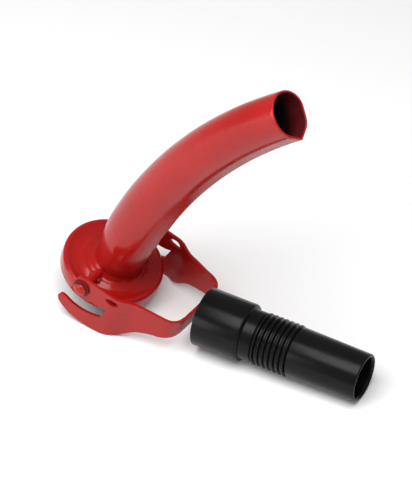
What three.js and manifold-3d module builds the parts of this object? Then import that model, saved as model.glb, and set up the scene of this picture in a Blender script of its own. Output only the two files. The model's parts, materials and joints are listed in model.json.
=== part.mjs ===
// A pouring spout for a steel fuel can: a bent steel tube on a round pressed cap, a U-shaped hook lever
// pivoted on two pins across the cap, and a loose flexible nozzle that pushes over the tube's outlet.
// Millimetres, +Z up. X runs from the cap to the lever's crosspiece, Y along the pivot pins.
import * as THREE from "three";
import { mergeVertices } from "three/addons/utils/BufferGeometryUtils.js";
import Module from "manifold-3d";

const wasm = await Module();
wasm.setup();

// Driving dimensions.
const GAP = 0.3; // clearance between pieces that touch
const TILT = THREE.MathUtils.degToRad(19); // lean of the cap's axis towards +X
const CAP_RADIUS = 34;
const CAP_BOTTOM = -13.5; // heights in the tilted frame are measured from the pin axis
const SHEET = 1.6; // cap sheet
const BEAD_RADIUS = 2.6; // rolled rim, outside
const DISH_DEPTH = 1.8; // ring between the rim and the boss
const UNDERSIDE_DEPTH = 3.4; // seat that the gasket is pushed up against
const GASKET_INNER = 22;
const GASKET_THICKNESS = 3.6;
const STRAINER_RADIUS = 14.2;
const STRAINER_WALL = 0.8;
const STRAINER_BOTTOM = -24;
const PIN_RADIUS = 2.8;
const PIN_START = 16;
const HEAD_RADIUS = 4.6;
const WASHER_RADIUS = 6;
const WASHER_SHEET = 0.9;
const TUBE_OFFSET = 3; // the tube stands forward of the cap's centre
const TUBE_FOOT_RADIUS = 15.2; // where it is welded to the cap
const TUBE_BODY_RADIUS = 18.2; // at its fullest
const TUBE_END_RADIUS = 15.4;
const TUBE_FULLEST = 42; // how far up the flare ends
const TUBE_WALL = 1.3;
const TUBE_START = -4.9;
const TUBE_LENGTH = 236; // along the centreline, above the pin axis
const TUBE_BEND = THREE.MathUtils.degToRad(32);
const TUBE_THIRDS = [77, 157]; // the tube is three lengths end to end, parted here
const SEAM_HEIGHT = 2.2; // how far the rolled seam stands out
const SEAM_HALF_ANGLE = 0.55; // of the section that the seam's corner takes up, in radians
const SEAM_TURN = THREE.MathUtils.degToRad(-7); // the seam is a little off the bend's inner side
const OUTLET_NARROWING = 0.1; // the section is this much narrower across the bend at the outlet
const BREATHER_RADIUS = 4;
const BREATHER_WALL = 0.8;
const BREATHER_OFFSET = -8; // towards the outer side of the bend
const BREATHER_START = -14;
const BREATHER_END = 195;
const CLIP_WIDTH = 5;
const CLIP_SHEET = 0.9;
const CLIP_LOWER = 30; // how far up the tube each clip starts
const CLIP_UPPER = 180;
const LEVER_SHEET = 2;
const LEVER_INNER = CAP_RADIUS + 0.5; // inner face of each arm beside the cap
const LEVER_REACH = 67; // outer face of the crosspiece
const LEVER_CORNER = 12;
const CROSSPIECE_HALF = 26.4;
const NOZZLE_LENGTH = 116;
const SOCKET_RADIUS = 19.8;
const SOCKET_END = 33;
const NECK_RADIUS = 17;
const BELLOWS_START = 41;
const BELLOWS_END = 67;
const NOZZLE_RIBS = 7;
const RIB_CREST = 17.8;
const RIB_ROOT = 16;
const TIP_RADIUS = 16.35;
const SOCKET_BORE = 16.7;
const PIPE_BORE = 13.8;
const NOZZLE_X = 72.6; // socket end, from the pin axis
const NOZZLE_Y = -2;
const NOZZLE_YAW = THREE.MathUtils.degToRad(8.2);

// Worked out from them.
const RIM_TOP = -(PIN_RADIUS + GAP);
const BEND_RADIUS = TUBE_LENGTH / TUBE_BEND;
const CAP_HOLE = TUBE_FOOT_RADIUS + 0.5;
const ARM_OUTER = LEVER_INNER + LEVER_SHEET;
const SEGMENTS = 44;

const RED = 0xb32218;
const STEEL = 0x9a9c9e;
const BLACK = 0x161616;

function material(color, roughness, metalness) {
  return new THREE.MeshStandardMaterial({ color, roughness, metalness });
}

function mesh(name, geometry, color, roughness, metalness) {
  const made = new THREE.Mesh(geometry, material(color, roughness, metalness));
  made.name = name;
  return made;
}

function vector(point) {
  return new THREE.Vector2(point[0], point[1]);
}

// Points on an arc in (radius, height), angles in degrees.
function arc(cx, cy, radius, from, to, steps) {
  const points = [];
  for (let i = 0; i <= steps; i++) {
    const angle = THREE.MathUtils.degToRad(from + ((to - from) * i) / steps);
    points.push([cx + radius * Math.cos(angle), cy + radius * Math.sin(angle)]);
  }
  return points;
}

// A closed ring section, listed anticlockwise in (radius, height), turned about Z.
function ring(section, segments = SEGMENTS) {
  const closed = [...section, section[0]].map(vector);
  return new THREE.LatheGeometry(closed, segments).rotateX(Math.PI / 2);
}

// A section that starts and ends on the axis, turned about Z.
function turned(section, segments = SEGMENTS) {
  return new THREE.LatheGeometry(section.map(vector), segments).rotateX(Math.PI / 2);
}

function solid(geometry) {
  const bare = geometry.clone();
  bare.deleteAttribute("normal");
  bare.deleteAttribute("uv");
  const merged = mergeVertices(bare, 1e-3);
  return new wasm.Manifold(
    new wasm.Mesh({
      numProp: 3,
      vertProperties: new Float32Array(merged.attributes.position.array),
      triVerts: new Uint32Array(merged.index.array),
    }),
  );
}

function geometryOf(body) {
  const result = body.getMesh();
  const geometry = new THREE.BufferGeometry();
  geometry.setAttribute("position", new THREE.BufferAttribute(result.vertProperties, 3));
  geometry.setIndex(new THREE.BufferAttribute(result.triVerts, 1));
  return geometry;
}

// Pressed cap: rolled rim, dished ring and raised boss, with the tube's hole forward of its centre.
function capShell() {
  const under = RIM_TOP - SHEET;
  const section = [
    [0, under],
    [20, under],
    [23, RIM_TOP - UNDERSIDE_DEPTH],
    [28.4, RIM_TOP - UNDERSIDE_DEPTH],
    ...arc(CAP_RADIUS - BEAD_RADIUS, RIM_TOP - BEAD_RADIUS, BEAD_RADIUS - SHEET, 90, 0, 3),
    [CAP_RADIUS - SHEET, CAP_BOTTOM],
    [CAP_RADIUS, CAP_BOTTOM],
    ...arc(CAP_RADIUS - BEAD_RADIUS, RIM_TOP - BEAD_RADIUS, BEAD_RADIUS, 0, 90, 4),
    [29.6, RIM_TOP - 0.5],
    [27.6, RIM_TOP - DISH_DEPTH],
    [23.6, RIM_TOP - DISH_DEPTH],
    [20.6, RIM_TOP - 0.2],
    [19.4, RIM_TOP],
    [0, RIM_TOP],
  ];
  const hole = new THREE.CylinderGeometry(CAP_HOLE, CAP_HOLE, CAP_RADIUS, 36).rotateX(Math.PI / 2);
  hole.translate(TUBE_OFFSET, 0, 0);
  return geometryOf(solid(turned(section)).subtract(solid(hole)));
}

// Flat rubber ring that seals on the can's mouth.
function gasket() {
  const top = RIM_TOP - UNDERSIDE_DEPTH - GAP - 1;
  const bottom = top - GASKET_THICKNESS;
  const outer = CAP_RADIUS - SHEET - GAP;
  const section = [
    [GASKET_INNER, bottom],
    [outer, bottom],
    [outer, top],
    [GASKET_INNER, top],
  ];
  return ring(section);
}

// Flanged ring that holds the strainer between the gasket and the cap.
function strainerRim() {
  const section = [
    [14.6, -9.4],
    [21.6, -9.4],
    [21.6, -8.2],
    [15.8, -8.2],
    [15.8, -6.2],
    [14.6, -6.2],
  ];
  return ring(section, 40);
}

// Wire gauze cup below the rim, plain and without its holes.
function strainerGauze() {
  const inner = STRAINER_RADIUS - STRAINER_WALL;
  const floor = STRAINER_BOTTOM + STRAINER_WALL;
  const section = [
    [0, STRAINER_BOTTOM],
    [11, STRAINER_BOTTOM],
    [STRAINER_RADIUS, STRAINER_BOTTOM + 2.5],
    [STRAINER_RADIUS, -7],
    [inner, -7],
    [inner, floor + 2.1],
    [10.7, floor],
    [0, floor],
  ];
  return turned(section, 32);
}

// A point of the tube's centreline in the tilted frame, and the direction of its inner side.
function alongTube(length) {
  if (length < 0) return { x: TUBE_OFFSET, z: length, angle: 0 };
  const angle = length / BEND_RADIUS;
  const x = TUBE_OFFSET + BEND_RADIUS * (1 - Math.cos(angle));
  const z = BEND_RADIUS * Math.sin(angle);
  return { x, z, angle };
}

// Moves each vertex of an upright body onto the bent centreline.
function bendAlongTube(geometry) {
  const position = geometry.getAttribute("position");
  for (let i = 0; i < position.count; i++) {
    const offset = position.getX(i);
    const place = alongTube(position.getZ(i));
    position.setX(i, place.x + offset * Math.cos(place.angle));
    position.setZ(i, place.z - offset * Math.sin(place.angle));
  }
  return geometry;
}

// The tube flares from its foot, is fullest low down and tapers to its outlet.
function tubeRadius(length) {
  const flare = THREE.MathUtils.smootherstep(length, -TUBE_FULLEST / 3, TUBE_FULLEST);
  const taper = Math.max(0, length - TUBE_FULLEST) / (TUBE_LENGTH - TUBE_FULLEST);
  const swell = (TUBE_BODY_RADIUS - TUBE_FOOT_RADIUS) * flare;
  return TUBE_FOOT_RADIUS + swell + (TUBE_END_RADIUS - TUBE_BODY_RADIUS) * taper;
}

// Moves a vertex of the round tube out to the seam's corner and in across the bend.
function shapeSection(position, i) {
  const length = position.getZ(i);
  const radius = Math.hypot(position.getX(i), position.getY(i));
  const around = Math.atan2(position.getY(i), position.getX(i));
  const rise = THREE.MathUtils.smoothstep(length, 6, 60);
  const peak = Math.max(0, 1 - Math.abs(around) / SEAM_HALF_ANGLE) ** 1.5;
  const factor = 1 + (SEAM_HEIGHT * rise * peak) / radius;
  const width = 1 - (OUTLET_NARROWING * Math.max(0, length)) / TUBE_LENGTH;
  position.setX(i, position.getX(i) * factor);
  position.setY(i, position.getY(i) * factor * width);
}

// One length of the rolled tube, hollow, with its seam near the inner side of the bend.
function tubeLength(from, to) {
  const steps = 6;
  const outside = [];
  const inside = [];
  for (let i = 0; i <= steps; i++) {
    const length = from + ((to - from) * i) / steps;
    outside.push([tubeRadius(length), length]);
    inside.unshift([tubeRadius(length) - TUBE_WALL, length]);
  }
  const geometry = ring([...outside, ...inside], 40);
  const position = geometry.getAttribute("position");
  for (let i = 0; i < position.count; i++) shapeSection(position, i);
  geometry.rotateZ(SEAM_TURN);
  return bendAlongTube(geometry);
}

// Breather pipe inside the tube, against the outer side of the bend.
function breatherTube() {
  const steps = 11;
  const outside = [];
  const inside = [];
  for (let i = 0; i <= steps; i++) {
    const length = BREATHER_START + ((BREATHER_END - BREATHER_START) * i) / steps;
    outside.push([BREATHER_RADIUS, length]);
    inside.unshift([BREATHER_RADIUS - BREATHER_WALL, length]);
  }
  const pipe = ring([...outside, ...inside], 12);
  return bendAlongTube(pipe.translate(BREATHER_OFFSET, 0, 0));
}

// Clip ring round the breather pipe with a foot on the tube's wall.
function breatherClip(length) {
  const bore = BREATHER_RADIUS + GAP;
  const band = [
    [bore, length],
    [bore + CLIP_SHEET, length],
    [bore + CLIP_SHEET, length + CLIP_WIDTH],
    [bore, length + CLIP_WIDTH],
  ];
  const wall = tubeRadius(length + CLIP_WIDTH) - TUBE_WALL + BREATHER_OFFSET - 2 * GAP;
  const start = bore + CLIP_SHEET / 4;
  const foot = new THREE.BoxGeometry(wall - start, 3, CLIP_WIDTH);
  foot.translate(-(start + wall) / 2, 0, length + CLIP_WIDTH / 2);
  const joined = solid(ring(band, 16)).add(solid(foot));
  return bendAlongTube(geometryOf(joined).translate(BREATHER_OFFSET, 0, 0));
}

// Pivot pin along Y with a domed head outside the lever arm; side is -1 or +1.
function pivotPin(side) {
  const shoulder = ARM_OUTER + WASHER_SHEET + 2 * GAP;
  const section = [
    [0, PIN_START],
    [PIN_RADIUS - 0.5, PIN_START],
    [PIN_RADIUS, PIN_START + 0.5],
    [PIN_RADIUS, shoulder],
    [HEAD_RADIUS, shoulder],
    [HEAD_RADIUS, shoulder + 0.7],
    [HEAD_RADIUS - 0.6, shoulder + 1.9],
    [2.4, shoulder + 2.8],
    [0, shoulder + 3],
  ];
  return turned(section, 20).rotateX((-side * Math.PI) / 2);
}

function pivotWasher(side) {
  const inner = ARM_OUTER + GAP;
  const section = [
    [PIN_RADIUS + GAP, inner],
    [WASHER_RADIUS, inner],
    [WASHER_RADIUS, inner + WASHER_SHEET],
    [PIN_RADIUS + GAP, inner + WASHER_SHEET],
  ];
  return ring(section, 24).rotateX((-side * Math.PI) / 2);
}

// Plan of the lever's bent strip, as a closed outline of its two faces.
function leverPlan() {
  const arm = LEVER_INNER + LEVER_SHEET / 2;
  const cross = LEVER_REACH - LEVER_SHEET / 2;
  const middle = new THREE.Path();
  middle.moveTo(-16, arm);
  middle.lineTo(22, arm);
  middle.bezierCurveTo(30, arm, 32, 29.6, 41, 29);
  middle.lineTo(cross - LEVER_CORNER, CROSSPIECE_HALF);
  middle.quadraticCurveTo(cross, CROSSPIECE_HALF - 0.6, cross, CROSSPIECE_HALF - LEVER_CORNER);
  middle.lineTo(cross, 0);
  const points = middle.getPoints(8);
  const outer = [];
  const inner = [];
  points.forEach((point, i) => {
    const before = points[Math.max(0, i - 1)];
    const after = points[Math.min(points.length - 1, i + 1)];
    const along = after.clone().sub(before).normalize();
    const side = new THREE.Vector2(-along.y, along.x).multiplyScalar(LEVER_SHEET / 2);
    outer.push(point.clone().add(side));
    inner.push(point.clone().sub(side));
  });
  const mirrored = (list) => list.slice(0, -1).reverse().map((p) => new THREE.Vector2(p.x, -p.y));
  const loop = [...outer, ...mirrored(outer), ...[...inner, ...mirrored(inner)].reverse()];
  return new THREE.Shape(loop);
}

// Side view of an arm: eye, hook mouth, finger and the neck to the crosspiece.
function leverSide() {
  const shape = new THREE.Shape();
  shape.moveTo(LEVER_REACH + 2, 16);
  shape.splineThru([vector([56, 15]), vector([40, 13.6]), vector([20, 11.2]), vector([2, 9.4])]);
  shape.splineThru([vector([-4.6, 6.8]), vector([-6.8, 1]), vector([-4.4, -4.6])]);
  shape.splineThru([vector([0, -6.4]), vector([5, -6.2])]);
  shape.splineThru([vector([11, -6.2]), vector([17, -4.8]), vector([21.5, -2.5])]);
  shape.lineTo(19.2, -13.4);
  shape.splineThru([vector([13, -16.6]), vector([6, -19.2]), vector([-2, -19.8]), vector([-8, -18.6])]);
  shape.splineThru([vector([-11.6, -19]), vector([-13.4, -22.4]), vector([-12, -26])]);
  shape.splineThru([vector([-5, -29.6]), vector([5, -30.6]), vector([16, -29.2]), vector([25.6, -26])]);
  shape.splineThru([vector([32.4, -22.4]), vector([37.4, -17.6]), vector([42.4, -11.8]), vector([49, -7.2])]);
  shape.splineThru([vector([57, -3.6]), vector([LEVER_REACH + 2, 1.2])]);
  shape.lineTo(LEVER_REACH + 2, 16);
  const eye = new THREE.Path();
  eye.absarc(0, 0, PIN_RADIUS + GAP, 0, 2 * Math.PI);
  const slot = new THREE.Path();
  slot.absellipse(22.6, 6.6, 4.6, 2.6, 0, 2 * Math.PI, false, 0.12);
  shape.holes.push(eye, slot);
  return shape;
}

function lever() {
  const height = 60;
  const plan = new THREE.ExtrudeGeometry(leverPlan(), { depth: height, bevelEnabled: false });
  plan.translate(0, 0, -35);
  const width = 90;
  const side = new THREE.ExtrudeGeometry(leverSide(), { depth: width, bevelEnabled: false, curveSegments: 5 });
  side.rotateX(Math.PI / 2).translate(0, width / 2, 0);
  return geometryOf(solid(plan).intersect(solid(side)).simplify(0.02));
}

// The nozzle's three stretches stand on Z and are laid down together.
function nozzleSocket() {
  const end = BELLOWS_START - GAP / 2;
  const section = [
    [SOCKET_BORE + 0.8, 0],
    [SOCKET_RADIUS - 0.8, 0],
    [SOCKET_RADIUS, 0.8],
    [SOCKET_RADIUS, SOCKET_END - 0.8],
    [SOCKET_RADIUS - 0.8, SOCKET_END],
    [NECK_RADIUS, SOCKET_END],
    [NECK_RADIUS, end],
    [PIPE_BORE, end],
    [PIPE_BORE, SOCKET_END - 2],
    [SOCKET_BORE, SOCKET_END - 4],
    [SOCKET_BORE, 0.8],
  ];
  return ring(section);
}

function nozzleBellows() {
  const start = BELLOWS_START + GAP / 2;
  const pitch = (BELLOWS_END - BELLOWS_START - GAP) / NOZZLE_RIBS;
  const end = BELLOWS_END - GAP / 2;
  const section = [[PIPE_BORE, start]];
  for (let i = 0; i < NOZZLE_RIBS; i++) {
    const low = start + i * pitch;
    section.push([RIB_ROOT, low], [RIB_CREST, low + 0.25 * pitch]);
    section.push([RIB_CREST, low + 0.65 * pitch], [RIB_ROOT, low + 0.9 * pitch]);
  }
  section.push([RIB_ROOT, end], [PIPE_BORE, end]);
  return ring(section, 32);
}

function nozzleTip() {
  const start = BELLOWS_END + GAP / 2;
  const section = [
    [PIPE_BORE, start],
    [NECK_RADIUS, start],
    [TIP_RADIUS, NOZZLE_LENGTH - 0.6],
    [TIP_RADIUS - 0.6, NOZZLE_LENGTH],
    [PIPE_BORE + 0.9, NOZZLE_LENGTH],
    [PIPE_BORE, NOZZLE_LENGTH - 2],
  ];
  return ring(section);
}

// Spout and cap, tilted about the pin axis, with the lever on the same pins.
function spoutAndLever() {
  const [lowerEnd, middleEnd] = TUBE_THIRDS;
  const group = new THREE.Group();
  group.rotation.y = TILT;
  group.add(
    mesh("spout_tube_lower", tubeLength(TUBE_START, lowerEnd), RED, 0.3, 0),
    mesh("spout_tube_middle", tubeLength(lowerEnd + GAP, middleEnd), RED, 0.3, 0),
    mesh("spout_tube_upper", tubeLength(middleEnd + GAP, TUBE_LENGTH), RED, 0.3, 0),
    mesh("cap_shell", capShell(), RED, 0.3, 0),
    mesh("gasket", gasket(), BLACK, 0.8, 0),
    mesh("strainer_rim", strainerRim(), STEEL, 0.4, 1),
    mesh("strainer_gauze", strainerGauze(), STEEL, 0.5, 1),
    mesh("breather_tube", breatherTube(), STEEL, 0.4, 1),
    mesh("breather_clip_lower", breatherClip(CLIP_LOWER), STEEL, 0.4, 1),
    mesh("breather_clip_upper", breatherClip(CLIP_UPPER), STEEL, 0.4, 1),
    mesh("lever", lever(), RED, 0.3, 0),
  );
  for (const [label, side] of [["near", -1], ["far", 1]]) {
    group.add(mesh(`pivot_pin_${label}`, pivotPin(side), RED, 0.3, 0));
    group.add(mesh(`pivot_washer_${label}`, pivotWasher(side), RED, 0.4, 0));
  }
  return group;
}

// The nozzle lies on its socket's shoulder and its tip, so its axis dips a little towards the tip.
function nozzle(pinHeight) {
  const pitch = Math.atan((SOCKET_RADIUS - TIP_RADIUS) / (NOZZLE_LENGTH - SOCKET_END));
  const group = new THREE.Group();
  group.add(
    mesh("nozzle_socket", nozzleSocket(), BLACK, 0.5, 0),
    mesh("nozzle_bellows", nozzleBellows(), BLACK, 0.5, 0),
    mesh("nozzle_tip", nozzleTip(), BLACK, 0.5, 0),
  );
  group.rotation.set(0, Math.PI / 2 + pitch, NOZZLE_YAW, "ZYX");
  const socketHeight = SOCKET_END * Math.sin(pitch) + SOCKET_RADIUS * Math.cos(pitch);
  group.position.set(NOZZLE_X, NOZZLE_Y, socketHeight - pinHeight);
  return group;
}

// The pin axis stands as high as the lever's fingers need; the origin is the middle of the footprint.
const part = new THREE.Group();
const metalwork = spoutAndLever();
part.add(metalwork);
const pinHeight = -new THREE.Box3().setFromObject(metalwork, true).min.z;
part.add(nozzle(pinHeight));
const box = new THREE.Box3().setFromObject(part, true);
const centre = box.getCenter(new THREE.Vector3());
part.position.set(-centre.x, -centre.y, -box.min.z);

export default part;
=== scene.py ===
# %% [markdown]
# # A pouring spout for a steel fuel can
# The object is a bent steel tube welded to a round pressed cap. A U-shaped hook lever turns on two pins
# that lie across the cap, and a loose flexible nozzle lies beside it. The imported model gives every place
# and size, so this lesson only makes the surfaces and finishes that stand around it.

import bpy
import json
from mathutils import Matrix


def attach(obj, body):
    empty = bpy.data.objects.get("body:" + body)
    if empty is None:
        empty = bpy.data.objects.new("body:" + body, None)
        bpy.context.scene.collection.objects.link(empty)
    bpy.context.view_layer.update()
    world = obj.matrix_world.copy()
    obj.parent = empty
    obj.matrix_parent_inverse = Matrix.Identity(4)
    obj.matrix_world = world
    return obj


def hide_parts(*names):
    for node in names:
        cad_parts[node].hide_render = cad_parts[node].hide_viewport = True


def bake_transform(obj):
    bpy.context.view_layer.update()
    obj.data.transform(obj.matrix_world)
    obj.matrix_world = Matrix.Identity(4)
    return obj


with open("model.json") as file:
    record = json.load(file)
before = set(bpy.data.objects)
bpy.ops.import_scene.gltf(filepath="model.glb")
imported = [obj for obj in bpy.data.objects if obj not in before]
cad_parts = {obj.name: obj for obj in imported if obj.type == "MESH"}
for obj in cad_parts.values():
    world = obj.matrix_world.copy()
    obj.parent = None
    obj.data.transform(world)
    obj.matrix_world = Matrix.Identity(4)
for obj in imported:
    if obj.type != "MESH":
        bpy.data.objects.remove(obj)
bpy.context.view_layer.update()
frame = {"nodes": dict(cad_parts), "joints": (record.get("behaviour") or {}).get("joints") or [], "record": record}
print("nodes:", sorted(frame["nodes"]))

# %% Modules
import json
from math import cos, pi, radians, sin

import bmesh
import bpy
from mathutils import Matrix, Vector, geometry

MM = 0.001
MERGE = 0.0005  # millimetres; closer points than this are one point

# %% [markdown]
# ## Two working frames
# The spout leans, and the nozzle lies down. Each is easier to draw upright, in millimetres, and to put in
# place at the end. A matrix does that: its columns are the piece's own directions, and its last column is
# where its origin stands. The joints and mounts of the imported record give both.

# %% Frames for the spout and the nozzle
joints = {joint["name"]: joint for joint in frame["joints"]}
mounts = {mount["name"]: mount for mount in frame["record"]["mounts"]}
ACROSS = Vector((0, 1, 0))


def millimetre_frame(origin, forward, across, up):
    """Takes millimetres along three directions at origin to metres in the row frame."""
    turned = Matrix((forward, across, up)).transposed().to_4x4()
    return Matrix.Translation(origin) @ turned @ Matrix.Scale(MM, 4)


pin_axis = Vector(joints["lever_pivot"]["pos_m"])
cap_up = -Vector(mounts["gasket_seat"]["axis"])
spout_place = millimetre_frame(pin_axis, ACROSS.cross(cap_up), ACROSS, cap_up)

bellows_middle = Vector(joints["nozzle_flex"]["pos_m"])
nozzle_along = Vector(mounts["nozzle_tip_end"]["axis"])
bore_mouth = Vector(mounts["tube_outlet"]["pos_m"]) * Vector((1, 0, 1))
socket_mount = Vector(mounts["nozzle_socket_end"]["pos_m"])
tip_mount = Vector(mounts["nozzle_tip_end"]["pos_m"])
to_middle = (bellows_middle - socket_mount).dot(nozzle_along)
NOZZLE_LENGTH = (tip_mount - socket_mount).dot(nozzle_along) / MM
nozzle_side = nozzle_along.cross(Vector((0, 0, 1))).normalized()
nozzle_place = millimetre_frame(
    bellows_middle - nozzle_along * to_middle,
    nozzle_side,
    nozzle_along.cross(nozzle_side),
    nozzle_along,
)
print("pin axis", pin_axis, "nozzle length", round(NOZZLE_LENGTH, 1), "mm")

# %% [markdown]
# ## Camera
# A long lens from well back keeps the object free of strong perspective, as in a catalogue view. The camera
# looks down at 42 degrees from the front right. Its aim is given in the camera's own right and up directions
# from the pin axis, which is simpler than turning it by hand.

# %% Camera
AZIMUTH = radians(35.7)
ELEVATION = radians(42)
DISTANCE = 3.0
LENS = 330.5
AIM_RIGHT = 0.0592
AIM_UP = 0.0046

camera_back = Vector((sin(AZIMUTH) * cos(ELEVATION), -cos(AZIMUTH) * cos(ELEVATION), sin(ELEVATION)))
camera_right = Vector((cos(AZIMUTH), sin(AZIMUTH), 0))
camera_up = camera_back.cross(camera_right)
aim = pin_axis + camera_right * AIM_RIGHT + camera_up * AIM_UP
camera_data = bpy.data.cameras.new("studio_camera")
camera_data.lens = LENS
camera_data.clip_end = 20
camera = bpy.data.objects.new("studio_camera", camera_data)
camera.matrix_world = Matrix.Translation(aim + camera_back * DISTANCE) @ (
    Matrix((camera_right, camera_up, camera_back)).transposed().to_4x4()
)
bpy.context.scene.collection.objects.link(camera)
bpy.context.scene.camera = camera
print("camera at", camera.matrix_world.translation)

# %% [markdown]
# ## Helpers for node trees
# Materials and geometry trees are both made of nodes and links. `put` adds one node and fills its sockets,
# by a link when it is handed another node's output and by a plain value otherwise. `calc` is a Math node
# that reads like a sum.

# %% Node helpers


def put(tree, kind, sockets=None, **settings):
    """Adds a node, applies its settings, and links or fills the sockets named or numbered."""
    node = tree.nodes.new(kind)
    for key, value in settings.items():
        setattr(node, key, value)
    for key, value in (sockets or {}).items():
        if isinstance(value, bpy.types.NodeSocket):
            tree.links.new(value, node.inputs[key])
        else:
            node.inputs[key].default_value = value
    return node


def calc(tree, operation, *values):
    return put(tree, "ShaderNodeMath", dict(enumerate(values)), operation=operation).outputs[0]


def ramp(tree, value, low, high, start=0.0, end=1.0, kind="LINEAR"):
    """Carries value from the span low to high over to the span start to end."""
    sockets = {"Value": value, "From Min": low, "From Max": high, "To Min": start, "To Max": end}
    return put(tree, "ShaderNodeMapRange", sockets, interpolation_type=kind).outputs[0]


# %% [markdown]
# ## Helpers for materials
# Every finish starts from one Principled shader. Patterns read Object coordinates, so they stay put when a
# body moves. Values that are the same all over are typed into the shader's own sockets.

# %% Material helpers


def new_finish(name, **fixed):
    """A material with a Principled shader; fixed are the sockets that stay the same all over."""
    material = bpy.data.materials.new(name)
    material.use_nodes = True
    shader = material.node_tree.nodes["Principled BSDF"]
    for socket, value in fixed.items():
        shader.inputs[socket.replace("_", " ")].default_value = value
    return material, material.node_tree, shader


def grain(tree, scale, detail=2.0, roughness=0.5, stretch=(1, 1, 1)):
    """Noise in metres of the piece's own space, from 0 to 1."""
    place = put(tree, "ShaderNodeTexCoord").outputs["Object"]
    sized = put(tree, "ShaderNodeMapping", {"Vector": place, "Scale": stretch}).outputs[0]
    sockets = {"Vector": sized, "Scale": scale, "Detail": detail, "Roughness": roughness}
    return put(tree, "ShaderNodeTexNoise", sockets).outputs["Fac"]


def tint(tree, factor, dark, light):
    mixed = put(tree, "ShaderNodeMix", {"Factor": factor}, data_type="RGBA")
    mixed.inputs[6].default_value = (*dark, 1)
    mixed.inputs[7].default_value = (*light, 1)
    return mixed.outputs[2]


def add_bump(tree, shader, height, distance, strength=1.0, below=None):
    sockets = {"Height": height, "Distance": distance, "Strength": strength}
    if below is not None:
        sockets["Normal"] = below
    normal = put(tree, "ShaderNodeBump", sockets).outputs[0]
    tree.links.new(normal, shader.inputs["Normal"])
    return normal


# %% [markdown]
# ## Red enamel
# The steel is dipped or sprayed with glossy red enamel. It could be one red with a low roughness, but real
# sprayed paint has a slow change of tone, a soft base under a clear skin, and the fine waves that painters
# call orange peel. The skin is the shader's coat, and the waves are two sizes of bump.

# %% Red enamel


def red_enamel():
    material, tree, shader = new_finish(
        "red_enamel", Coat_Weight=0.38, Coat_Roughness=0.12, Coat_IOR=1.5, Specular_IOR_Level=0.1
    )
    tone = ramp(tree, grain(tree, 22, 3), 0.3, 0.7)
    colour = tint(tree, tone, (0.3, 0.0055, 0.0045), (0.355, 0.008, 0.0065))
    tree.links.new(colour, shader.inputs["Base Color"])
    tree.links.new(ramp(tree, grain(tree, 60, 4), 0.3, 0.7, 0.2, 0.34), shader.inputs["Roughness"])
    peel = add_bump(tree, shader, grain(tree, 420, 2), 0.00002, 0.4)
    add_bump(tree, shader, grain(tree, 35, 1), 0.0001, 0.3, below=peel)
    return material


RED = red_enamel()

# %% [markdown]
# ## Dark finishes and painted shade
# The tube's bore is painted dark red just inside the mouth and nearly black beyond, as painted shade deepening
# into the bore. It could be two materials with a hard line between them, but the shade deepens smoothly, so one
# distance from the mouth blends the two. The nozzle is a satin black moulded plastic: a very fine, even grain from
# the mould, with a roughness that wanders a little where hands have polished it. The gasket is dull rubber, and
# the washers under the rivet heads are coloured dark red as painted shade round the heads.

# %% Bore shade, nozzle plastic, rubber and washer shade


# Painted shade: the bore is coloured dark red near the mouth, fading to near black deeper in.
def bore_painted_shade():
    material, tree, shader = new_finish("bore_painted_shade", Specular_IOR_Level=0.3)
    place = put(tree, "ShaderNodeTexCoord").outputs["Object"]
    to_mouth = put(tree, "ShaderNodeVectorMath", {0: place, 1: bore_mouth}, operation="DISTANCE")
    wander = ramp(tree, grain(tree, 60, 3), 0.3, 0.7, -0.003, 0.003)
    # Painted shade: the colour darkens with distance from the mouth, standing in for shade inside the bore.
    depth = ramp(tree, calc(tree, "ADD", to_mouth.outputs["Value"], wander), 0.013, 0.024, kind="SMOOTHSTEP")
    colour = tint(tree, depth, (0.075, 0.003, 0.005), (0.003, 0.0015, 0.0015))
    tree.links.new(colour, shader.inputs["Base Color"])
    tree.links.new(ramp(tree, grain(tree, 90, 3), 0.3, 0.7, 0.45, 0.7), shader.inputs["Roughness"])
    add_bump(tree, shader, grain(tree, 300, 3), 0.00005, 0.5)
    return material


def nozzle_plastic():
    material, tree, shader = new_finish("nozzle_plastic", Specular_IOR_Level=0.14)
    tone = grain(tree, 30, 4)
    colour = tint(tree, tone, (0.0025, 0.0025, 0.0027), (0.006, 0.006, 0.0063))
    tree.links.new(colour, shader.inputs["Base Color"])
    tree.links.new(ramp(tree, grain(tree, 55, 5), 0.3, 0.7, 0.2, 0.32), shader.inputs["Roughness"])
    mould = add_bump(tree, shader, grain(tree, 2600, 2), 0.00002, 0.35)
    add_bump(tree, shader, grain(tree, 120, 2), 0.00008, 0.25, below=mould)
    return material


# A dull material with a noisy tone: the gasket's real rubber, and the washers' painted shade.
def dull_rubber_and_shade(name, dark, light):
    material, tree, shader = new_finish(name, Specular_IOR_Level=0.3)
    tree.links.new(tint(tree, grain(tree, 120, 4), dark, light), shader.inputs["Base Color"])
    tree.links.new(ramp(tree, grain(tree, 200, 3), 0.3, 0.7, 0.6, 0.85), shader.inputs["Roughness"])
    add_bump(tree, shader, grain(tree, 900, 4), 0.00006, 0.5)
    return material


BORE_SHADE = bore_painted_shade()
PLASTIC = nozzle_plastic()
RUBBER = dull_rubber_and_shade("gasket_rubber", (0.012, 0.012, 0.012), (0.028, 0.027, 0.026))
# Painted shade: the washers are coloured dark red to stand in for the shade round the rivet heads.
WASHER_SHADE = dull_rubber_and_shade("washer_painted_shade", (0.09, 0.006, 0.006), (0.14, 0.01, 0.009))

# %% [markdown]
# ## Plated steel
# The strainer and the breather pipe are zinc-plated. Zinc has faint cloudy patches and fine draw lines
# along the metal, so one noise is stretched and drives the roughness and a shallow bump.

# %% Plated steel


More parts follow.
